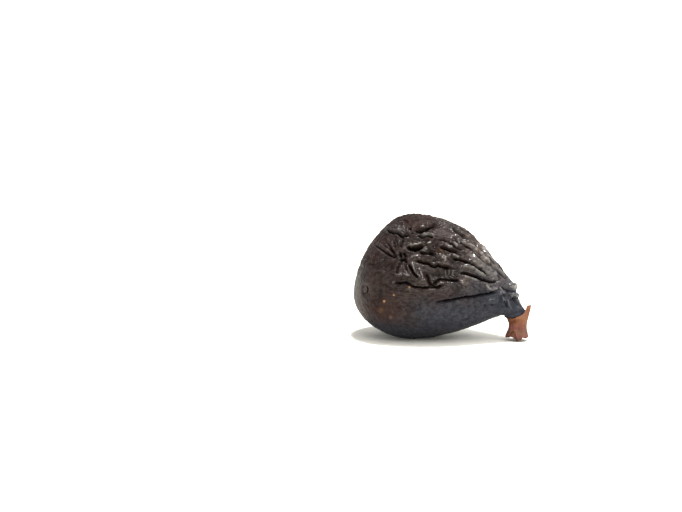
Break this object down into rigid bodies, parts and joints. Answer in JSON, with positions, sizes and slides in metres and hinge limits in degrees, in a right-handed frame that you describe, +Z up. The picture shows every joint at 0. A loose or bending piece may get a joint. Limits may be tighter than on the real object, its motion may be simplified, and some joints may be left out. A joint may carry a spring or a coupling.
{
  "type": "dried fig",
  "caption": "Whole dried black fig lying on its side, with wrinkled skin, bent neck, scaly eye and short ragged stem.",
  "frame": {"origin": "middle of the fig's box on the surface it lies on", "axes": "+X along the fig from its eye to its stem, -Y to the side with the deepest creases, +Z up"},
  "size_m": [0.0422, 0.0292, 0.0291],
  "materials": {
    "skin": "satin, glossy on the wrinkles, with a bluish bloom towards the neck",
    "stem": "matt",
    "eye_scales": "matt"
  },
  "bodies": {
    "root": {"fruit": "skin", "stem": "stem", "ostiole": "eye_scales"}
  },
  "joints": []
}
